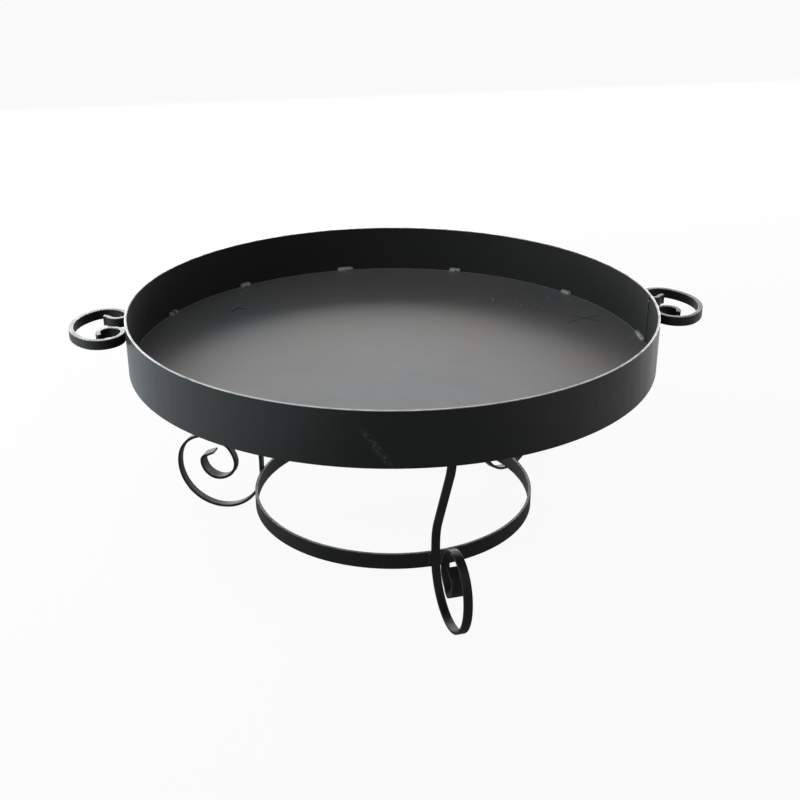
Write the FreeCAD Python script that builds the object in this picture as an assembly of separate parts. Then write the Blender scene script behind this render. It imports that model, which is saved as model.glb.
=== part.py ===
"""Round steel fire bowl: a shallow flat-bottomed pan with two scrolled handles, which lifts off a
stand of three scrolled flat-bar legs tied together by one hoop.

Millimetres, +Z up. The origin is on the ground under the middle of the pan, and the two handles
point along +X and -X. Angles are turned from +X towards +Y.
"""
import FreeCAD
import Part

import math
import os

# ---- pan -----------------------------------------------------------------------------------------
PAN_DIAMETER = 700.0           # outside of the wall
PAN_WALL_HEIGHT = 70.0
PAN_WALL_SHEET = 3.0
PAN_FLOOR_SHEET = 3.0
PAN_FLOOR_CLEARANCE = 0.5      # the floor disc drops into the wall with this much room all round
PAN_UNDERSIDE = 273.0          # height of the pan's underside above the ground
SHEET_EDGE_ROUND = 0.6         # a sheared edge that has been dressed and painted

SEAM_GAP = 1.6                 # the two ends of a rolled strip stop this far apart at their weld
SEAM_CROWN = 1.2               # the weld stands this far proud of the inside face
SEAM_BEAD_WIDTH = 5.0
PAN_SEAM_ANGLE = -2.5

TACK_ANGLES = [0.5, 34, 67, 96.5, 125, 151, 181, 211, 241, 271, 301, 331]
TACK_BALL = 8.0                # each tack is a drop of weld, part of a ball let into the corner
TACK_SUNK_IN_WALL = 3.0
TACK_SUNK_IN_FLOOR = 3.5
TACK_ROOT = 1.0                # a tack stops this far short of the pan's underside

# ---- handles -------------------------------------------------------------------------------------
HANDLE_BAR_THICKNESS = 6.0
HANDLE_BAR_HEIGHT = 13.0
HANDLE_BELOW_RIM = 16.0        # top edge of the bar below the rim
HANDLE_REACH = 73.5            # how far the bow stands out from the wall
HANDLE_BOW_RADIUS = 67.9       # radii are those of the middle of the bar
HANDLE_BOW_HALF_ANGLE = 49.0
FRONT_TURN_RADIUS = 16.3       # turn that lies against the wall, on the front side of the handle
FRONT_TURN_OFFSET = -30.2
FRONT_CURL_RADIUS = 15.2
FRONT_CURL_ANGLE = 130.0
REAR_TURN_RADIUS = 12.6        # tighter turn against the wall, on the rear side
REAR_TURN_OFFSET = 33.2
REAR_TURN_STOP = -32.0         # the rear turn stops here and flicks the other way
REAR_FLICK_RADIUS = 10.6
REAR_FLICK_ANGLE = 50.0
HANDLE_WELD_RADIUS = 9.0
HANDLE_WELD_INSET = 1.2        # the weld stops this far from the bar's top and bottom edges

# ---- stand ---------------------------------------------------------------------------------------
LEG_FRONT_ANGLE = -80.2        # the legs stand a third of a turn apart
LEG_BAR_THICKNESS = 4.0
LEG_BAR_WIDTH = 11.2
LEG_TOP_RADIUS = 256.0         # the upright top of a leg is this far from the middle
LEG_SEAT_LENGTH = 32.0         # the top is bent inwards and lies flat under the pan
LEG_SEAT_BEND = 10.0
LEG_TOP_STRAIGHT = 22.0
LEG_LEAN_OVER_CHORD = 1.28     # how much more the straight leans than the S bend as a whole
LEG_FOOT_RADIUS = 63.4         # the big scroll that the leg stands on
LEG_FOOT_END = 13.7            # it runs on to this angle above level on the outer side
LEG_CROWN_RADIUS = 43.8        # over the top of the scroll
LEG_CROWN_END = 14.0           # the crown stops at this angle above level on the inner side
LEG_CURL_RADIUS = 25.3         # the curl goes on from there until it points straight up
LEG_TIP_BEND = 10.0
LEG_TIP_BEND_ANGLE = 65.0
LEG_TIP_LENGTH = 15.0
LEG_TIP_THICKNESS = 2.6        # the tip is drawn down thin
LEG_TIP_WIDTH = 17.0           # and hammered out wide
LEG_FLARE_START = -12.0        # it widens from here to there, measured from the curl's middle
LEG_FLARE_END = 8.0

RING_OUTER_RADIUS = 195.0
RING_HEIGHT = 22.0
RING_THICKNESS = 4.0
RING_ABOVE_FOOT_CENTRE = 5.0   # top edge of the hoop above the middle of the scrolls
LEG_STRAIGHT_ABOVE_RING = 13.0
RING_SEAM_ANGLE = 100.0
RING_WELD_RADIUS = 3.0
RING_WELD_INSET = 1.0

BAR_EDGE_ROUND = 0.7

# ---- sizes that follow ---------------------------------------------------------------------------
pan_radius = PAN_DIAMETER / 2
wall_inner_radius = pan_radius - PAN_WALL_SHEET
rim_height = PAN_UNDERSIDE + PAN_WALL_HEIGHT
floor_top = PAN_UNDERSIDE + PAN_FLOOR_SHEET
foot_centre_height = LEG_FOOT_RADIUS + LEG_BAR_THICKNESS / 2
leg_ring_radius = RING_OUTER_RADIUS + LEG_BAR_THICKNESS / 2
ring_top = foot_centre_height + RING_ABOVE_FOOT_CENTRE
ring_bottom = ring_top - RING_HEIGHT
handle_top = rim_height - HANDLE_BELOW_RIM
handle_bottom = handle_top - HANDLE_BAR_HEIGHT
third_of_a_turn = 360 / 3
leg_angles = {
    "front": LEG_FRONT_ANGLE,
    "right": LEG_FRONT_ANGLE + third_of_a_turn,
    "left": LEG_FRONT_ANGLE - third_of_a_turn,
}

UP = FreeCAD.Vector(0, 0, 1)
ORIGIN = FreeCAD.Vector(0, 0, 0)
SAME_PLACE = 1e-6              # two lengths that differ by less than this are equal
OVERCUT = 1.0                  # a shape that is cut to size starts out this much too big


def cos(angle):
    return math.cos(math.radians(angle))


def sin(angle):
    return math.sin(math.radians(angle))


def flat_bar(start, heading, moves, thickness, tip_thickness=None):
    """Side view, in the XY plane, of a bar bent through the moves, each tangent to the last.

    A move is (length, None) for a straight or (radius, turn) for a bend, and a turn to the left
    is positive. With a tip thickness, the bar tapers to it along its last move.
    """
    x, y = start
    half = thickness / 2
    left, right = [], []

    def beside(across):
        return FreeCAD.Vector(x - sin(heading) * across, y + cos(heading) * across, 0)

    first = (beside(half), beside(-half))
    for number, (size, turn) in enumerate(moves):
        before = (beside(half), beside(-half))
        if turn is None:
            x += size * cos(heading)
            y += size * sin(heading)
            if tip_thickness is not None and number == len(moves) - 1:
                half = tip_thickness / 2
            left.append(Part.LineSegment(before[0], beside(half)).toShape())
            right.append(Part.LineSegment(before[1], beside(-half)).toShape())
            continue
        side = math.copysign(1, turn)
        cx = x - side * size * sin(heading)
        cy = y + side * size * cos(heading)
        spoke = heading - side * 90
        for edges, across in ((left, half), (right, -half)):
            reach = size - side * across
            points = [
                FreeCAD.Vector(cx + reach * cos(a), cy + reach * sin(a), 0)
                for a in (spoke, spoke + turn / 2, spoke + turn)
            ]
            edges.append(Part.Arc(*points).toShape())
        heading += turn
        x = cx + size * cos(heading - side * 90)
        y = cy + size * sin(heading - side * 90)
    last = (beside(half), beside(-half))
    near_end = Part.LineSegment(first[1], first[0]).toShape()
    far_end = Part.LineSegment(last[0], last[1]).toShape()
    outline = Part.Wire(left + [far_end] + right[::-1] + [near_end])
    return Part.Face(outline)


def round_long_edges(solid, direction, low, high):
    """Round the edges of a bar that lie in its two flat sides, at low and high along direction."""
    edges = []
    for edge in solid.Edges:
        heights = [vertex.Point.dot(direction) for vertex in edge.Vertexes]
        for side in (low, high):
            if all(abs(height - side) < SAME_PLACE for height in heights):
                edges.append(edge)
    return solid.makeFillet(BAR_EDGE_ROUND, edges)


def rolled_strip(outer_radius, thickness, bottom, top, edge_round, seam_angle):
    """A strip on edge rolled round the Z axis, with the gap for its weld at the seam angle."""
    inner = outer_radius - thickness
    r = edge_round
    k = r * (1 - cos(45))
    corners = [(inner, bottom), (outer_radius, bottom), (outer_radius, top), (inner, top)]
    inwards = [(1, 1), (-1, 1), (-1, -1), (1, -1)]
    edges = []
    arcs = []
    for (cx, cz), (sx, sz) in zip(corners, inwards):
        on_face = FreeCAD.Vector(cx, 0, cz + sz * r)
        middle = FreeCAD.Vector(cx + sx * k, 0, cz + sz * k)
        on_edge = FreeCAD.Vector(cx + sx * r, 0, cz)
        arcs.append((on_face, middle, on_edge))
    order = [arcs[0], arcs[1][::-1], arcs[2], arcs[3][::-1]]
    for here, after in zip(order, order[1:] + order[:1]):
        edges.append(Part.Arc(*here).toShape())
        edges.append(Part.LineSegment(here[2], after[0]).toShape())
    section = Part.Face(Part.Wire(edges))
    half_gap = math.degrees(math.asin(SEAM_GAP / 2 / outer_radius))
    section.rotate(ORIGIN, UP, seam_angle + half_gap)
    return section.revolve(ORIGIN, UP, 360 - 2 * half_gap)


def seam_weld(strip, outer_radius, thickness, bottom, top, seam_angle):
    """The bead that closes a rolled strip: it fills the gap and crowns the inside face."""
    inner = outer_radius - thickness
    drop = SEAM_BEAD_WIDTH ** 2 / 8 / SEAM_CROWN - SEAM_CROWN / 2
    crown = Part.makeCylinder(
        drop + SEAM_CROWN, top - bottom, FreeCAD.Vector(inner + drop, 0, bottom), UP
    )
    inside = Part.makeCylinder(inner, top - bottom, FreeCAD.Vector(0, 0, bottom), UP)
    bead = crown.common(inside)
    width = SEAM_GAP + OVERCUT
    corner = FreeCAD.Vector(inner - OVERCUT, -width / 2, bottom)
    filler = Part.makeBox(thickness + 2 * OVERCUT, width, top - bottom, corner)
    outside = Part.makeCylinder(outer_radius, top - bottom, FreeCAD.Vector(0, 0, bottom), UP)
    bead = bead.fuse(filler.common(outside))
    bead.rotate(ORIGIN, UP, seam_angle)
    return bead.cut(strip).removeSplitter()


def pan_wall():
    return rolled_strip(
        pan_radius, PAN_WALL_SHEET, PAN_UNDERSIDE, rim_height, SHEET_EDGE_ROUND, PAN_SEAM_ANGLE
    )


def pan_floor():
    """Flat disc that drops into the wall, flush with the wall's bottom edge."""
    radius = wall_inner_radius - PAN_FLOOR_CLEARANCE
    disc = Part.makeCylinder(radius, PAN_FLOOR_SHEET, FreeCAD.Vector(0, 0, PAN_UNDERSIDE), UP)
    rims = [edge for edge in disc.Edges if isinstance(edge.Curve, Part.Circle)]
    return disc.makeFillet(SHEET_EDGE_ROUND / 2, rims)


def pan_wall_seam_weld(wall, floor):
    """The bead stands on the floor inside the pan and fills the wall's full height at the gap."""
    bead = seam_weld(wall, pan_radius, PAN_WALL_SHEET, PAN_UNDERSIDE, rim_height, PAN_SEAM_ANGLE)
    return bead.cut(floor)


def pan_floor_tack_welds(wall, floor, seam):
    """Drops of weld in the corner between the floor and the wall, spaced by hand."""
    corner = Part.makeCylinder(
        wall_inner_radius,
        PAN_WALL_HEIGHT,
        FreeCAD.Vector(0, 0, PAN_UNDERSIDE + TACK_ROOT),
        UP,
    )
    drops = []
    for angle in TACK_ANGLES:
        out = wall_inner_radius + TACK_SUNK_IN_WALL
        middle = FreeCAD.Vector(out * cos(angle), out * sin(angle), floor_top - TACK_SUNK_IN_FLOOR)
        ball = Part.makeSphere(TACK_BALL, middle)
        drops.append(largest(ball.common(corner).cut(floor).cut(seam)))
    return Part.makeCompound(drops)


def largest(shape):
    return max(shape.Solids, key=lambda solid: solid.Volume)


def turn_centre(radius, offset):
    """Middle of a turn whose outer face lies against the wall, at this offset across the handle."""
    reach = pan_radius + HANDLE_BAR_THICKNESS / 2 + radius
    return math.sqrt(reach ** 2 - offset ** 2), offset


def side_arc(bow_centre, turn, turn_radius, angle):
    """Arc from the bow's end to a turn, touching both: its radius and the middle of its circle."""
    dx, dy = turn[0] - bow_centre, turn[1]
    spare = HANDLE_BOW_RADIUS - turn_radius
    step = (spare ** 2 - dx ** 2 - dy ** 2) / 2 / (spare - dx * cos(angle) - dy * sin(angle))
    centre = (bow_centre + step * cos(angle), step * sin(angle))
    return HANDLE_BOW_RADIUS - step, centre


def handle_right():
    """Flat bar on edge: a bow, a turn against the wall at each end, and a curl beyond each turn."""
    bow = pan_radius + HANDLE_REACH - HANDLE_BAR_THICKNESS / 2 - HANDLE_BOW_RADIUS
    front = turn_centre(FRONT_TURN_RADIUS, FRONT_TURN_OFFSET)
    rear = turn_centre(REAR_TURN_RADIUS, REAR_TURN_OFFSET)
    half = HANDLE_BOW_HALF_ANGLE
    front_radius, front_centre = side_arc(bow, front, FRONT_TURN_RADIUS, -half)
    rear_radius, rear_centre = side_arc(bow, rear, REAR_TURN_RADIUS, half)
    front_meets = math.degrees(math.atan2(front[1] - front_centre[1], front[0] - front_centre[0])) % 360
    rear_meets = math.degrees(math.atan2(rear[1] - rear_centre[1], rear[0] - rear_centre[0])) % 360
    curl = (front[0], front[1] + FRONT_TURN_RADIUS - FRONT_CURL_RADIUS)
    tip_angle = 90 - FRONT_CURL_ANGLE
    start = (curl[0] + FRONT_CURL_RADIUS * cos(tip_angle), curl[1] + FRONT_CURL_RADIUS * sin(tip_angle))
    moves = [
        (FRONT_CURL_RADIUS, FRONT_CURL_ANGLE),
        (FRONT_TURN_RADIUS, front_meets - 90),
        (front_radius, 360 - half - front_meets),
        (HANDLE_BOW_RADIUS, 2 * half),
        (rear_radius, rear_meets - half),
        (REAR_TURN_RADIUS, 360 + REAR_TURN_STOP - rear_meets),
        (REAR_FLICK_RADIUS, -REAR_FLICK_ANGLE),
    ]
    bar = flat_bar(start, tip_angle + 90, moves, HANDLE_BAR_THICKNESS)
    bar.translate(FreeCAD.Vector(0, 0, handle_bottom))
    solid = bar.extrude(FreeCAD.Vector(0, 0, HANDLE_BAR_HEIGHT))
    return round_long_edges(solid, UP, handle_bottom, handle_top)


def handle_right_weld(handle, turn_radius, offset):
    """Bead down both sides of the line where one turn lies against the wall."""
    centre = turn_centre(turn_radius, offset)
    angle = math.degrees(math.atan2(centre[1], centre[0]))
    foot = FreeCAD.Vector(
        pan_radius * cos(angle), pan_radius * sin(angle), handle_bottom + HANDLE_WELD_INSET
    )
    height = HANDLE_BAR_HEIGHT - 2 * HANDLE_WELD_INSET
    bead = Part.makeCylinder(HANDLE_WELD_RADIUS, height, foot, UP)
    pan = Part.makeCylinder(pan_radius, rim_height)
    pieces = bead.cut(pan).cut(handle)
    return largest_pieces(pieces, 2)


def largest_pieces(shape, count):
    """The given number of largest solids, without the sliver that lies inside a turn."""
    kept = sorted(shape.Solids, key=lambda solid: -solid.Volume)[:count]
    return Part.makeCompound(kept)


def other_side(shape):
    """The same piece on the other side of the pan, as its mirror image."""
    return shape.mirror(ORIGIN, FreeCAD.Vector(1, 0, 0))


def leg():
    """One bar from its seat under the pan to the tip of its scroll, drawn along +X."""
    seat_height = PAN_UNDERSIDE - LEG_BAR_THICKNESS / 2
    bend_top = seat_height - LEG_SEAT_BEND - LEG_TOP_STRAIGHT
    bend_bottom = ring_top + LEG_STRAIGHT_ABOVE_RING
    inwards = LEG_TOP_RADIUS - leg_ring_radius
    down = bend_top - bend_bottom
    lean = LEG_LEAN_OVER_CHORD * math.degrees(math.atan2(inwards, down))
    bend = (down * sin(lean) - inwards * cos(lean)) / (1 - cos(lean)) / 2
    straight = (inwards * sin(lean) - down * (1 - cos(lean))) / (1 - cos(lean))
    start = (LEG_TOP_RADIUS - LEG_SEAT_BEND - LEG_SEAT_LENGTH, seat_height)
    moves = [
        (LEG_SEAT_LENGTH, None),
        (LEG_SEAT_BEND, -90),
        (LEG_TOP_STRAIGHT, None),
        (bend, -lean),
        (straight, None),
        (bend, lean),
        (bend_bottom - foot_centre_height, None),
        (LEG_FOOT_RADIUS, 180 + LEG_FOOT_END),
        (LEG_CROWN_RADIUS, 180 - LEG_FOOT_END - LEG_CROWN_END),
        (LEG_CURL_RADIUS, 180 + LEG_CROWN_END),
        (LEG_TIP_BEND, LEG_TIP_BEND_ANGLE),
        (LEG_TIP_LENGTH, None),
    ]
    side = flat_bar(start, 0, moves, LEG_BAR_THICKNESS, LEG_TIP_THICKNESS)
    side.rotate(ORIGIN, FreeCAD.Vector(1, 0, 0), 90)
    half_width = LEG_BAR_WIDTH / 2
    side.translate(FreeCAD.Vector(0, half_width, 0))
    solid = side.extrude(FreeCAD.Vector(0, -LEG_BAR_WIDTH, 0))
    bar = round_long_edges(solid, FreeCAD.Vector(0, 1, 0), -half_width, half_width)
    return bar.fuse(leg_flare(side)).removeSplitter()


def leg_flare(side):
    """The hammered end of a leg: the curl and its tip, widened evenly on both sides."""
    crown_offset = LEG_FOOT_RADIUS - LEG_CROWN_RADIUS
    curl_offset = LEG_CROWN_RADIUS - LEG_CURL_RADIUS
    curl_x = leg_ring_radius + LEG_FOOT_RADIUS
    curl_x += crown_offset * cos(LEG_FOOT_END) - curl_offset * cos(LEG_CROWN_END)
    curl_z = foot_centre_height + crown_offset * sin(LEG_FOOT_END) + curl_offset * sin(LEG_CROWN_END)
    wide = side.copy()
    wide.translate(FreeCAD.Vector(0, (LEG_TIP_WIDTH - LEG_BAR_WIDTH) / 2, 0))
    wide = wide.extrude(FreeCAD.Vector(0, -LEG_TIP_WIDTH, 0))
    reach = LEG_CURL_RADIUS + LEG_BAR_THICKNESS
    middle = FreeCAD.Vector(curl_x, -LEG_TIP_WIDTH, curl_z)
    around_curl = Part.makeCylinder(reach, 2 * LEG_TIP_WIDTH, middle, FreeCAD.Vector(0, 1, 0))
    plan = [
        (LEG_FLARE_START, LEG_BAR_WIDTH / 2),
        (LEG_FLARE_END, LEG_TIP_WIDTH / 2),
        (reach, LEG_TIP_WIDTH / 2),
        (reach, -LEG_TIP_WIDTH / 2),
        (LEG_FLARE_END, -LEG_TIP_WIDTH / 2),
        (LEG_FLARE_START, -LEG_BAR_WIDTH / 2),
    ]
    corners = [FreeCAD.Vector(curl_x + x, y, curl_z - reach) for x, y in plan]
    fan = Part.Face(Part.makePolygon(corners + corners[:1])).extrude(UP * 2 * reach)
    return wide.common(around_curl).common(fan)


def leg_ring_welds(one_leg):
    """A bead up each side of the leg where it stands against the hoop, drawn along +X."""
    height = RING_HEIGHT - 2 * RING_WELD_INSET
    hoop = Part.makeCylinder(RING_OUTER_RADIUS, ring_top)
    beads = []
    for side in (-1, 1):
        across = side * LEG_BAR_WIDTH / 2
        out = math.sqrt(RING_OUTER_RADIUS ** 2 - across ** 2)
        foot = FreeCAD.Vector(out, across, ring_bottom + RING_WELD_INSET)
        bead = Part.makeCylinder(RING_WELD_RADIUS, height, foot, UP)
        beads.append(largest(bead.cut(hoop).cut(one_leg)))
    return Part.makeCompound(beads)


def stand_ring():
    return rolled_strip(
        RING_OUTER_RADIUS, RING_THICKNESS, ring_bottom, ring_top, BAR_EDGE_ROUND, RING_SEAM_ANGLE
    )


def stand_ring_seam_weld(ring):
    return seam_weld(ring, RING_OUTER_RADIUS, RING_THICKNESS, ring_bottom, ring_top, RING_SEAM_ANGLE)


def turned(shape, angle):
    copy = shape.copy()
    copy.rotate(ORIGIN, UP, angle)
    return copy


def all_pieces():
    wall = pan_wall()
    floor = pan_floor()
    seam = pan_wall_seam_weld(wall, floor)
    handle = handle_right()
    ring = stand_ring()
    one_leg = leg()
    welds = leg_ring_welds(one_leg)
    pieces = {
        "pan_wall": wall,
        "pan_floor": floor,
        "pan_wall_seam_weld": seam,
        "pan_floor_tack_welds": pan_floor_tack_welds(wall, floor, seam),
        "handle_right": handle,
        "handle_left": other_side(handle),
        "stand_ring": ring,
        "stand_ring_seam_weld": stand_ring_seam_weld(ring),
    }
    turns = {
        "front": (FRONT_TURN_RADIUS, FRONT_TURN_OFFSET),
        "rear": (REAR_TURN_RADIUS, REAR_TURN_OFFSET),
    }
    for place, (radius, offset) in turns.items():
        weld = handle_right_weld(handle, radius, offset)
        pieces["handle_right_" + place + "_weld"] = weld
        pieces["handle_left_" + place + "_weld"] = other_side(weld)
    for place, angle in leg_angles.items():
        pieces["leg_" + place] = turned(one_leg, angle)
        pieces["leg_" + place + "_ring_welds"] = turned(welds, angle)
    return pieces


os.makedirs("parts", exist_ok=True)
for name, shape in all_pieces().items():
    shape.exportStep("parts/" + name + ".step")
    print(name, len(shape.Solids), round(shape.Volume, 1), shape.isValid())
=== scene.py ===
"""A round steel fire bowl: a shallow pan with two scrolled handles, set on a three-legged stand.

The piece is put together from the ground up: legs, hoop and their welds, then the pan, its floor
and welds, and last the handles. Metres, +Z up, with the handles along the X axis.
"""

import math
import random

import bpy
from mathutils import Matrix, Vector


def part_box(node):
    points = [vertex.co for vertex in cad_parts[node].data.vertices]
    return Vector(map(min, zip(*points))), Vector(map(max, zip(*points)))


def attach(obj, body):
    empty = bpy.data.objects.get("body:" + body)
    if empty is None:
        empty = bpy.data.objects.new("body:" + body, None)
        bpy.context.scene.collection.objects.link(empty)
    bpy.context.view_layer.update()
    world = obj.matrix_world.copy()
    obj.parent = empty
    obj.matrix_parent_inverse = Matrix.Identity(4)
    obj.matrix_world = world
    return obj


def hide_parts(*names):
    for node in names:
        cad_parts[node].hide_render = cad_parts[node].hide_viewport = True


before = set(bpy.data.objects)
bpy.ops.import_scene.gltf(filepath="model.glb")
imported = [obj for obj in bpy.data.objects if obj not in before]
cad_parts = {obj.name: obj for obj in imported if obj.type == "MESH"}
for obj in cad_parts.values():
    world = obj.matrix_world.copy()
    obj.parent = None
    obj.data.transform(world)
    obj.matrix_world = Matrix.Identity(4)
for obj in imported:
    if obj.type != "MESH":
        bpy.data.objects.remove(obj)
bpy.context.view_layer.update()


# ---- legs ----------------------------------------------------------------------------------------
# Three lengths of hot-rolled flat bar, each bent into a long S over a scrolled foot and drawn
# down thin at the tip. They are brushed with satin black heat-proof paint, which has rubbed a
# little greyer where the foot stands on the ground.
LEGS = ("leg_front", "leg_right", "leg_left")
BAR_BLACK = (0.0048, 0.0062, 0.0054, 1)
BAR_DUST = (0.020, 0.022, 0.021, 1)
BARE_STEEL = (0.50, 0.505, 0.50, 1)
PAINT_SPECULAR = 0.42
BRUSH_DEPTH = 0.00022
FOOT_RUB = 0.0030
FOOT_WORN = 0.35


class Wired:
    """One socket of a material. Python's operators on wired numbers add the Math nodes."""

    def __init__(self, tree, socket=None):
        self.tree = tree
        self.socket = socket

    def node(self, kind, settings=None, inputs=None, output=0):
        """Adds any node: its settings go in first, then the value or link of each socket."""
        made = self.tree.nodes.new("ShaderNode" + kind)
        for name, value in (settings or {}).items():
            setattr(made, name, value)
        for key, value in (inputs or {}).items():
            socket = made.inputs[key]
            if isinstance(value, Wired):
                self.tree.links.new(value.socket, socket)
            else:
                socket.default_value = value
        return Wired(self.tree, made.outputs[output])

    def maths(self, operation, *numbers):
        return self.node("Math", {"operation": operation}, dict(enumerate(numbers)))

    def __add__(self, other):
        return self.maths("ADD", self, other)

    def __sub__(self, other):
        return self.maths("SUBTRACT", self, other)

    def __rsub__(self, other):
        return self.maths("SUBTRACT", other, self)

    def __mul__(self, other):
        return self.maths("MULTIPLY", self, other)

    __radd__ = __add__
    __rmul__ = __mul__

    def ramp(self, low, high):
        """0 up to low and 1 from high on, eased between them; low may be the larger."""
        ends = {"Value": self, "From Min": low, "From Max": high}
        return self.node("MapRange", {"interpolation_type": "SMOOTHSTEP"}, ends)

    def colours(self, first, second):
        """The first colour where this is 0 and the second where it is 1."""
        ends = {0: self, 6: first, 7: second}
        return self.node("Mix", {"data_type": "RGBA"}, ends, output=2)

    def noise(self, scale, detail=2.0, rough=0.5):
        """Cloudy noise over these coordinates, with about this many clouds in a metre."""
        kind = {"Vector": self, "Scale": scale, "Detail": detail, "Roughness": rough}
        return self.node("TexNoise", None, kind)

    def stretched(self, x, y, z):
        return self.node("VectorMath", {"operation": "MULTIPLY"}, {0: self, 1: (x, y, z)})

    def parts(self):
        """X, Y and Z of these coordinates."""
        split = self.node("SeparateXYZ", None, {0: self})
        sockets = split.socket.node.outputs
        return [Wired(self.tree, sockets[axis]) for axis in range(3)]


def new_finish(name):
    """An empty material, and the coordinates that its nodes start from."""
    material = bpy.data.materials.new(name)
    material.use_nodes = True
    start = Wired(material.node_tree)
    place = start.node("TexCoord", output=3)
    return material, place


def set_finish(material, colour, roughness, metallic, bump, specular):
    """Joins what varies to the shader; the specular level is the same all over."""
    tree = material.node_tree
    shader = tree.nodes["Principled BSDF"]
    tree.links.new(colour.socket, shader.inputs["Base Color"])
    tree.links.new(roughness.socket, shader.inputs["Roughness"])
    tree.links.new(metallic.socket, shader.inputs["Metallic"])
    tree.links.new(bump.socket, shader.inputs["Normal"])
    shader.inputs["Specular IOR Level"].default_value = specular


def relief(height, depth):
    return height.node("Bump", None, {"Height": height, "Distance": depth, "Strength": 1.0})


def bar_paint(name, rubbed):
    """Brushed satin black on flat bar; rubbed says where it has worn through, and on the handles
    also where a painted highlight makes the left one paler.
    """
    material, place = new_finish(name)
    clouds = place.noise(14, 3, 0.6)
    grain = place.noise(900, 2, 0.6)
    brush = place.noise(160, 3, 0.55)
    patches = place.noise(45, 4, 0.7)
    wear_and_sheen = rubbed(place, patches.ramp(0.42, 0.62))
    dust = clouds.ramp(0.45, 0.75) * 0.35
    colour = wear_and_sheen.colours(dust.colours(BAR_BLACK, BAR_DUST), BARE_STEEL)
    roughness = 0.40 + clouds * 0.14 + grain * 0.08 - wear_and_sheen * 0.08
    skin = grain * 0.35 + brush
    set_finish(material, colour, roughness, wear_and_sheen * 0.75, relief(skin, BRUSH_DEPTH), PAINT_SPECULAR)
    return material


def leg_rubbed(place, patches):
    """A leg rubs bare under its foot, where it stands on the ground."""
    height = place.parts()[2]
    return height.ramp(FOOT_RUB, 0.0) * patches * FOOT_WORN


def dress(node, material):
    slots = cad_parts[node].data.materials
    slots.clear()
    slots.append(material)


leg_paint = bar_paint("leg_paint", leg_rubbed)
for leg in LEGS:
    dress(leg, leg_paint)


# ---- hoop ----------------------------------------------------------------------------------------
# One strip of flat bar rolled on edge into a hoop, which ties the legs together on their inner
# side. Its upper arris has been rubbed a little.
hoop_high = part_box("stand_ring")[1]
HOOP_RUB = 0.0012


def hoop_rubbed(place, patches):
    height = place.parts()[2]
    return height.ramp(hoop_high.z - HOOP_RUB, hoop_high.z) * (patches * 0.15 + 0.10)


dress("stand_ring", bar_paint("hoop_paint", hoop_rubbed))


# ---- welds of the stand --------------------------------------------------------------------------
# Each leg is held to the hoop by a short upright bead on both sides, and the hoop's own ends are
# closed by one more. They are stick welds, laid as a row of overlapping ripples and painted over.
WELD_BLACK = (0.010, 0.0115, 0.0105, 1)
WELD_PALE = (0.235, 0.240, 0.235, 1)
LEG_BEAD_WIDTH = 0.0052
HOOP_BEAD_WIDTH = 0.0050
HALF_LEG = 0.0056
HOOP_BAR = 0.004
BEAD_OFFSET = 0.12
RIPPLE_SWELL = 1.16
RIPPLE_WAIST = 0.90
RIPPLE_SHARES = (0.25, 0.45, 0.30)
BEAD_END = 0.5
BEAD_SIDES = 12
BEAD_RIPPLES = 7
WELD_DEPTH = 0.0004


def deselect_all():
    bpy.ops.object.select_all(action="DESELECT")


def lay_bead(start, end, width, ripples):
    """A bead from start to end, with one swelling for each ripple that the arc left."""
    along = end - start
    upright = along.to_track_quat("Z", "Y").to_euler()
    deselect_all()
    radius = width / 4
    bpy.ops.mesh.primitive_circle_add(
        vertices=BEAD_SIDES, radius=radius, fill_type="NGON", location=start, rotation=upright
    )
    bead = bpy.context.object
    bpy.ops.object.transform_apply(location=True, rotation=True, scale=True)
    bpy.ops.object.mode_set(mode="EDIT")
    bpy.ops.mesh.select_all(action="SELECT")
    place = start.copy()
    swells = (RIPPLE_WAIST, RIPPLE_SWELL, RIPPLE_SWELL * 0.94)
    rings = list(zip(RIPPLE_SHARES, swells)) * ripples
    rings[-1] = (RIPPLE_SHARES[-1], BEAD_END)
    for share, swell in rings:
        step = along * share / ripples
        bpy.ops.mesh.extrude_region_move(TRANSFORM_OT_translate={"value": step})
        place += step
        wanted = width / 2 * swell
        bpy.ops.transform.resize(value=(wanted / radius,) * 3, center_override=place)
        radius = wanted
    bpy.ops.mesh.select_all(action="SELECT")
    bpy.ops.mesh.normals_make_consistent(inside=False)
    bpy.ops.object.mode_set(mode="OBJECT")
    return bead


def finish_piece(parts, name, material):
    """Joins the parts into one smooth piece with the material, its place in its mesh."""
    deselect_all()
    for part in parts:
        part.select_set(True)
    bpy.context.view_layer.objects.active = parts[0]
    if len(parts) > 1:
        bpy.ops.object.join()
    piece = bpy.context.object
    piece.name = name
    rounding = piece.modifiers.new("rounding", "SUBSURF")
    rounding.levels = 1
    rounding.render_levels = 1
    bpy.ops.object.modifier_apply(modifier=rounding.name)
    bpy.ops.object.shade_smooth()
    piece.data.materials.clear()
    piece.data.materials.append(material)
    return piece


def weld_paint(name, pale_share):
    """Painted weld: black in its ripples, rubbed and dusted paler on their crowns."""
    material, place = new_finish(name)
    lumps = place.noise(420, 3, 0.6)
    patches = place.noise(120, 2, 0.5)
    pale = patches.ramp(0.62 - 0.4 * pale_share, 0.80 - 0.4 * pale_share)
    colour = pale.colours(WELD_BLACK, WELD_PALE)
    roughness = 0.42 + lumps * 0.2
    set_finish(material, colour, roughness, pale * 0.3, relief(lumps, WELD_DEPTH), PAINT_SPECULAR)
    return material


def keep_as_weld(piece, node, body):
    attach(piece, body)
    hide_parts(node)


def upright_of(node):
    """The angle round the Z axis of a node's middle, and the heights of its ends."""
    low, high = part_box(node)
    middle = (low + high) / 2
    return math.atan2(middle.y, middle.x), low.z, high.z


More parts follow.
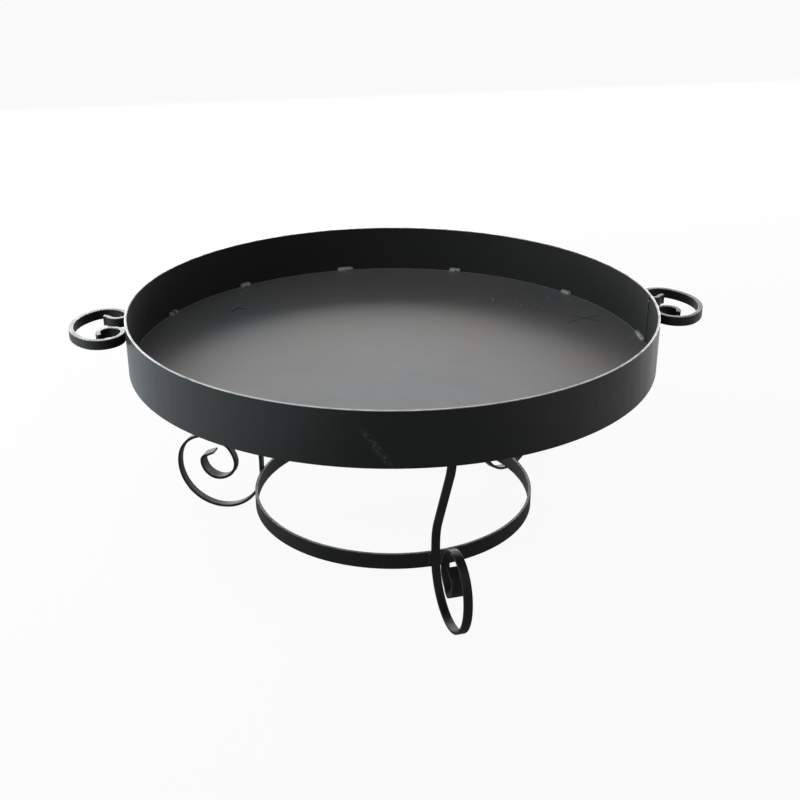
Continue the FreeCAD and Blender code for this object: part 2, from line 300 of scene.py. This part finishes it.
def around(radius, angle, height, across=0.0):
    """A point at a radius and angle round the Z axis, moved sideways by across."""
    out = Vector((math.cos(angle), math.sin(angle), 0))
    side = Vector((-out.y, out.x, 0))
    return out * radius + side * across + Vector((0, 0, height))


stand_weld_paint = weld_paint("stand_weld_paint", 0.25)
hoop_radius = hoop_high.x
for leg in LEGS:
    node = leg + "_ring_welds"
    angle, bottom, top = upright_of(node)
    beads = []
    for side in (-1, 1):
        across = side * (HALF_LEG + LEG_BEAD_WIDTH * BEAD_OFFSET)
        foot = around(hoop_radius, angle, bottom, across)
        head = around(hoop_radius, angle, top, across)
        beads.append(lay_bead(foot, head, LEG_BEAD_WIDTH, BEAD_RIPPLES))
    piece = finish_piece(beads, leg + "_hoop_beads", stand_weld_paint)
    keep_as_weld(piece, node, "stand")

angle, bottom, top = upright_of("stand_ring_seam_weld")
seam_radius = hoop_radius - HOOP_BAR / 2
inset = HOOP_BEAD_WIDTH * 0.2
foot = around(seam_radius, angle, bottom + inset)
head = around(seam_radius, angle, top - inset)
seam = lay_bead(foot, head, HOOP_BEAD_WIDTH, BEAD_RIPPLES)
piece = finish_piece([seam], "hoop_seam_bead", stand_weld_paint)
keep_as_weld(piece, "stand_ring_seam_weld", "stand")


# ---- wall of the pan -----------------------------------------------------------------------------
# A strip of 3 mm sheet rolled into a hoop 700 mm across. It is sprayed satin black; rolling has
# left faint upright bands, the top arris is rubbed bare, pale runs mark the right and a scuff the
# front.
wall_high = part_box("pan_wall")[1]
WALL_BLACK = (0.0042, 0.0060, 0.0050, 1)
WALL_BLUE = (0.0075, 0.0095, 0.0092, 1)
WALL_RUN = (0.150, 0.155, 0.140, 1)
WALL_SHEET = 0.003
RIM_RUB = 0.0011
SHEET_DEPTH = 0.00030
SCUFF = (-0.056, 0.300, -55, 0.070, 0.0060)
CHIP = (-0.259, 0.3405, -10, 0.010, 0.004)


def mark(place, x, y, degrees, length, width):
    """1 on a soft straight mark centred at x, y, turned from +X, and 0 away from it."""
    turn = math.radians(degrees)
    middle = (x, y, 0)
    moved = place.node("VectorMath", {"operation": "SUBTRACT"}, {0: place, 1: middle})
    turning = {"Vector": moved, "Angle": -turn}
    turned = moved.node("VectorRotate", {"rotation_type": "Z_AXIS"}, turning)
    along, across = turned.parts()[:2]
    from_middle = along.maths("ABSOLUTE", along)
    beside = across.maths("ABSOLUTE", across)
    return from_middle.ramp(length / 2, length / 5) * beside.ramp(width, width * 0.2)


def pan_wall_paint():
    material, place = new_finish("pan_wall_paint")
    x, y, height = place.parts()
    flat = place.stretched(1, 1, 0)
    radius = flat.node("VectorMath", {"operation": "LENGTH"}, {0: flat}, output=1)
    outside = radius.ramp(wall_high.x - WALL_SHEET * 0.6, wall_high.x - WALL_SHEET * 0.3)
    clouds = place.noise(9, 3, 0.55)
    bands = place.stretched(1, 1, 0.06).noise(70, 3, 0.6)
    peel = place.noise(750, 2, 0.6)
    rim_patches = place.noise(60, 3, 0.6)
    rim_wear = 0.72 + 0.28 * rim_patches.ramp(0.35, 0.55)
    rim = height.ramp(wall_high.z - RIM_RUB, wall_high.z) * rim_wear
    right_end = x.ramp(0.290, 0.305) * y.ramp(-0.03, -0.10) * outside
    runs = right_end * place.stretched(1, 1, 0.03).noise(150, 2, 0.5).ramp(0.50, 0.62)
    unrolled = place.node("CombineXYZ", None, {0: x, 1: height, 2: y})
    front = outside * y.ramp(-0.2, -0.3)
    broken = place.noise(260, 3, 0.6).ramp(0.42, 0.66)
    scuff = mark(unrolled, *SCUFF) * broken * front
    chip = mark(unrolled, *CHIP) * outside * y.ramp(-0.1, -0.2)
    marks = runs * 0.9 + scuff * 0.25
    rim = rim * (1.0 - chip)
    blue = outside * (clouds * 0.5 + bands * 0.4)
    base = blue.colours(WALL_BLACK, WALL_BLUE)
    colour = rim.colours(marks.colours(base, WALL_RUN), BARE_STEEL)
    roughness = 0.58 - outside * 0.29 + clouds * 0.10 + bands * 0.10 - rim * 0.10
    skin = peel * 0.12 + bands * 0.8 + clouds * 3.0
    set_finish(material, colour, roughness, rim * 0.8, relief(skin, SHEET_DEPTH), PAINT_SPECULAR)
    return material


dress("pan_wall", pan_wall_paint())


# ---- floor of the pan ----------------------------------------------------------------------------
# A disc of 3 mm sheet dropped into the wall. It is black paint like the wall, given a pale, faintly
# blue and warm grey metal colour as painted sheen for its bright reflection, cloudy from the rolling
# mill, with scuffs and specks of spatter from the welding.
floor_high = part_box("pan_floor")[1]
SHEEN_GREY = (0.238, 0.235, 0.234, 1)
SHEEN_BLUE = (0.224, 0.230, 0.238, 1)
SHEEN_WARM = (0.249, 0.240, 0.236, 1)
SCUFF_DARK = (0.05, 0.05, 0.052, 1)
FLOOR_EDGE = 0.0030
MILL_DEPTH = 0.00035
FLOOR_SPECULAR = 0.3
FLOOR_MARKS = (
    (0.288, 0.083, -38, 0.060, 0.0030),
    (0.286, 0.083, 24, 0.080, 0.0022),
    (-0.214, 0.176, 60, 0.028, 0.0045),
    (-0.204, 0.180, -20, 0.022, 0.0045),
)


def pan_floor_paint():
    material, place = new_finish("pan_floor_paint")
    flat = place.stretched(1, 1, 0)
    radius = flat.node("VectorMath", {"operation": "LENGTH"}, {0: flat}, output=1)
    clouds = place.noise(6, 4, 0.55)
    tint = place.noise(3.2, 2, 0.4)
    roll = place.stretched(1, 0.12, 1).noise(55, 3, 0.6)
    grain = place.noise(1100, 2, 0.6)
    # Painted sheen: these pale grey metal colours stand in for the backdrop's reflection on the
    # floor's black paint.
    base = tint.ramp(0.50, 0.62).colours(SHEEN_GREY, SHEEN_WARM)
    base = tint.ramp(0.48, 0.36).colours(base, SHEEN_BLUE)
    dark = mark(place, *FLOOR_MARKS[0])
    for scratch in FLOOR_MARKS[1:]:
        dark = dark + mark(place, *scratch)
    dark = dark.maths("MINIMUM", dark, 1.0) * 0.8
    colour = dark.colours(base, SCUFF_DARK)
    edge = radius.ramp(floor_high.x - FLOOR_EDGE, floor_high.x - FLOOR_EDGE * 0.4)
    colour = (edge * 0.7).colours(colour, BARE_STEEL)
    roughness = 0.53 + clouds * 0.08 + roll * 0.04
    skin = clouds * 6.0 + roll * 0.3 + grain * 0.03
    metallic = 0.92 - dark * 0.5
    set_finish(material, colour, roughness, metallic, relief(skin, MILL_DEPTH), FLOOR_SPECULAR)
    return material


dress("pan_floor", pan_floor_paint())


# ---- welds of the pan ----------------------------------------------------------------------------
# The wall's ends meet in one upright bead. The floor is tacked to the wall by twelve short dabs
# in the corner, each three ripples long, with a few grains of spatter round them.
TACK_ANGLES = (0.5, 34, 67, 96.5, 125, 151, 181, 211, 241, 271, 301, 331)
TACK_WIDTH = 0.0090
TACK_LENGTH = 0.0230
TACK_INWARDS = 0.0024
TACK_ABOVE = 0.0012
TACK_RIPPLES = 3
SEAM_WIDTH = 0.0046
TWO_DABS = 0.5
SEAM_RIPPLES = 22
DRAW_SEED = 7
SPATTER_PER_TACK = 4
SPATTER_REACH = 0.034
SPATTER_SIZE = (0.0010, 0.0022)
STRAY_SPATTER = (
    (0.170, 0.175, 0.0040), (0.200, 0.158, 0.0024), (0.208, 0.146, 0.0030), (0.217, 0.152, 0.0020),
    (0.225, 0.138, 0.0026), (0.236, 0.133, 0.0022), (-0.120, 0.210, 0.0020), (0.060, -0.190, 0.0018),
)


def spatter_grain(foot, size):
    """A grain of spatter that has frozen onto the floor, as a low round button."""
    return lay_bead(foot - Vector((0, 0, size / 4)), foot + Vector((0, 0, size / 2)), size, 1)


tack_paint = weld_paint("tack_paint", 0.85)
inner_radius = wall_high.x - WALL_SHEET
floor_top = floor_high.z
sizes = random.Random(DRAW_SEED)
tacks = []
for degrees in TACK_ANGLES:
    angle = math.radians(degrees)
    half = TACK_LENGTH * sizes.uniform(0.38, 0.62)
    if degrees == TWO_DABS:
        half = TACK_LENGTH * 0.75
    middle_radius = inner_radius - TACK_INWARDS
    start = around(middle_radius, angle, floor_top + TACK_ABOVE, -half)
    end = around(middle_radius, angle, floor_top + TACK_ABOVE, half)
    tacks.append(lay_bead(start, end, TACK_WIDTH * sizes.uniform(0.85, 1.05), TACK_RIPPLES))
    for grain in range(SPATTER_PER_TACK):
        size = sizes.uniform(*SPATTER_SIZE)
        inwards = middle_radius - sizes.uniform(0.3, 1.0) * SPATTER_REACH
        beside = sizes.uniform(-1, 1) * SPATTER_REACH
        tacks.append(spatter_grain(around(inwards, angle, floor_top, beside), size))
for x, y, size in STRAY_SPATTER:
    tacks.append(spatter_grain(Vector((x, y, floor_top)), size))
piece = finish_piece(tacks, "floor_tacks", tack_paint)
keep_as_weld(piece, "pan_floor_tack_welds", "pan")

angle, bottom, top = upright_of("pan_wall_seam_weld")
seam_radius = inner_radius + WALL_SHEET * 0.2
inset = SEAM_WIDTH * 0.2
foot = around(seam_radius, angle, bottom + inset)
head = around(seam_radius, angle, top - inset)
seam = lay_bead(foot, head, SEAM_WIDTH, SEAM_RIPPLES)
piece = finish_piece([seam], "wall_seam_bead", weld_paint("wall_seam_paint", 0.1))
keep_as_weld(piece, "pan_wall_seam_weld", "pan")


# ---- handles -------------------------------------------------------------------------------------
# Flat bar on edge, bent cold into a bow that turns back on the wall at each end and curls. Hands
# have rubbed the paint off its top arris, and the left handle's arris is made paler still as a
# painted highlight from the lamp on the left.
handle_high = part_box("handle_right")[1]
HANDLE_RUB = 0.0010


def handle_rubbed_and_lit(place, patches):
    """The top arris of a handle, rubbed bare, and paler on the left one as a painted highlight from
    the lamp on that side.
    """
    x, y, height = place.parts()
    # Painted highlight: the extra share on the left handle stands in for the left lamp's light on
    # its arris.
    wear_and_lamp_sheen = patches * 0.20 + 0.22 + x.ramp(0.1, -0.1) * 0.4
    top = height.ramp(handle_high.z - HANDLE_RUB, handle_high.z - HANDLE_RUB * 0.4)
    return top * wear_and_lamp_sheen


handle_paint = bar_paint("handle_paint", handle_rubbed_and_lit)
dress("handle_right", handle_paint)
dress("handle_left", handle_paint)


# ---- welds of the handles ------------------------------------------------------------------------
# Where a handle's turns lie against the wall, an upright bead runs down both sides of the line
# that they touch on.
HANDLE_BEAD_WIDTH = 0.0046
HANDLE_BEAD_OFFSET = 0.0052
HANDLE_BEAD_OUT = 0.0001
HANDLE_BEAD_INSET = 0.001
HANDLE_BEAD_RIPPLES = 4

handle_weld_paint = weld_paint("handle_weld_paint", 0.2)
for handle in ("handle_right", "handle_left"):
    for place_name in ("front", "rear"):
        node = handle + "_" + place_name + "_weld"
        angle, bottom, top = upright_of(node)
        beads = []
        for side in (-1, 1):
            across = side * HANDLE_BEAD_OFFSET
            on_wall = wall_high.x + HANDLE_BEAD_OUT
            foot = around(on_wall, angle, bottom + HANDLE_BEAD_INSET, across)
            head = around(on_wall, angle, top - HANDLE_BEAD_INSET, across)
            beads.append(lay_bead(foot, head, HANDLE_BEAD_WIDTH, HANDLE_BEAD_RIPPLES))
        piece = finish_piece(beads, handle + "_" + place_name + "_beads", handle_weld_paint)
        keep_as_weld(piece, node, "pan")


# ---- room ----------------------------------------------------------------------------------------
# A plain pale floor that fades into a white backdrop, a soft lamp on the left, a long low light
# behind and a broad weak sun from the front.
FLOOR_SIZE = 60
FLOOR_PALE = (0.85, 0.85, 0.85, 1)
WHITE = (1, 1, 1, 1)
BACKDROP_BEHIND = 1.0
BACKDROP_FRONT = 0.16
CEILING = 0.03
FLOOR_IN_FRONT = 0.19
FLOOR_AT_LEFT = 1.0
LEFT_TINT = (0.86, 0.94, 1.0, 1)
FLOOR_AT_RIGHT = 0.30
FLOOR_BEHIND = 0.70
FLOOR_SEEN = 0.91
MIDDLE = Vector((0, 0, 0.3))
SUN_SLANT = Vector((0.25, 0.50, -0.83))
SUN_POWER = 1.15
SUN_SPREAD = 70
LAMP_PLACE = (-1.6, 0.1, 0.75)
LAMP_POWER = 14
LAMP_COLOUR = (0.92, 0.97, 1.0)
STRIP_PLACE = (-0.3, 3.2, 0.90)
STRIP_POWER = 128
CAMERA_PLACE = (-0.1648, -1.5325, 0.8901)
CAMERA_TILT = 65.846
CAMERA_TURN = -6.5

deselect_all()
bpy.ops.mesh.primitive_plane_add(size=FLOOR_SIZE, location=(0, 0, 0))
studio_floor = bpy.context.object
studio_floor.name = "studio_floor"
material, place = new_finish("studio_floor_paint")
shader = material.node_tree.nodes["Principled BSDF"]
shader.inputs["Base Color"].default_value = FLOOR_PALE
shader.inputs["Roughness"].default_value = 1.0
shader.inputs["Specular IOR Level"].default_value = 0.0
across, away = place.parts()[:2]
seen = place.node("LightPath", output=0)
mirrored = place.node("LightPath", output=3)
sides = across.ramp(-0.45, -0.85) * FLOOR_AT_LEFT + across.ramp(0.45, 0.85) * FLOOR_AT_RIGHT
lit = sides + away.ramp(-0.1, 0.8) * FLOOR_BEHIND + FLOOR_IN_FRONT
lit = lit.maths("MINIMUM", lit, 1.0)
strength = seen + mirrored * lit
tint = (across.ramp(-0.30, -0.80) * mirrored).colours(WHITE, LEFT_TINT)
glow = place.node("Emission", None, {"Color": tint, "Strength": strength})
plain = Wired(material.node_tree, shader.outputs[0])
blend = place.node("MixShader", None, {0: seen * FLOOR_SEEN + mirrored, 1: plain, 2: glow})
surface = material.node_tree.nodes["Material Output"].inputs["Surface"]
material.node_tree.links.new(blend.socket, surface)
studio_floor.data.materials.append(material)

world = bpy.data.worlds.new("studio")
world.use_nodes = True
bpy.context.scene.world = world
sky = Wired(world.node_tree)
towards = sky.node("TexCoord", output=0)
x, y, up = towards.parts()
behind = y.ramp(-0.75, 0.25)
overhead = up.ramp(0.30, 0.60)
brightness = BACKDROP_FRONT + behind * (BACKDROP_BEHIND - BACKDROP_FRONT)
brightness = brightness * (1.0 - overhead) + overhead * CEILING
camera_ray = sky.node("LightPath", output=0)
brightness = brightness + camera_ray * (1.0 - brightness)
background = world.node_tree.nodes["Background"]
background.inputs["Color"].default_value = WHITE
world.node_tree.links.new(brightness.socket, background.inputs["Strength"])

bpy.ops.object.light_add(type="SUN", location=(0, 0, 3))
sun = bpy.context.object
sun.rotation_euler = SUN_SLANT.to_track_quat("-Z", "Y").to_euler()
sun.data.energy = SUN_POWER
sun.data.angle = math.radians(SUN_SPREAD)


def soft_light(place, width, height, power):
    """A soft rectangle of light that faces the middle of the bowl."""
    bpy.ops.object.light_add(type="AREA", location=place)
    light = bpy.context.object
    light.rotation_euler = (MIDDLE - light.location).to_track_quat("-Z", "Y").to_euler()
    light.data.shape = "RECTANGLE"
    light.data.size = width
    light.data.size_y = height
    light.data.energy = power
    return light


lamp = soft_light(LAMP_PLACE, 1.6, 1.2, LAMP_POWER)
lamp.data.color = LAMP_COLOUR
soft_light(STRIP_PLACE, 6.0, 1.3, STRIP_POWER)

bpy.ops.object.camera_add(location=CAMERA_PLACE)
camera = bpy.context.object
camera.rotation_euler = (math.radians(CAMERA_TILT), 0, math.radians(CAMERA_TURN))
camera.data.lens = 55.17
camera.data.sensor_width = 36
bpy.context.scene.camera = camera
bpy.context.scene.view_settings.view_transform = "Standard"
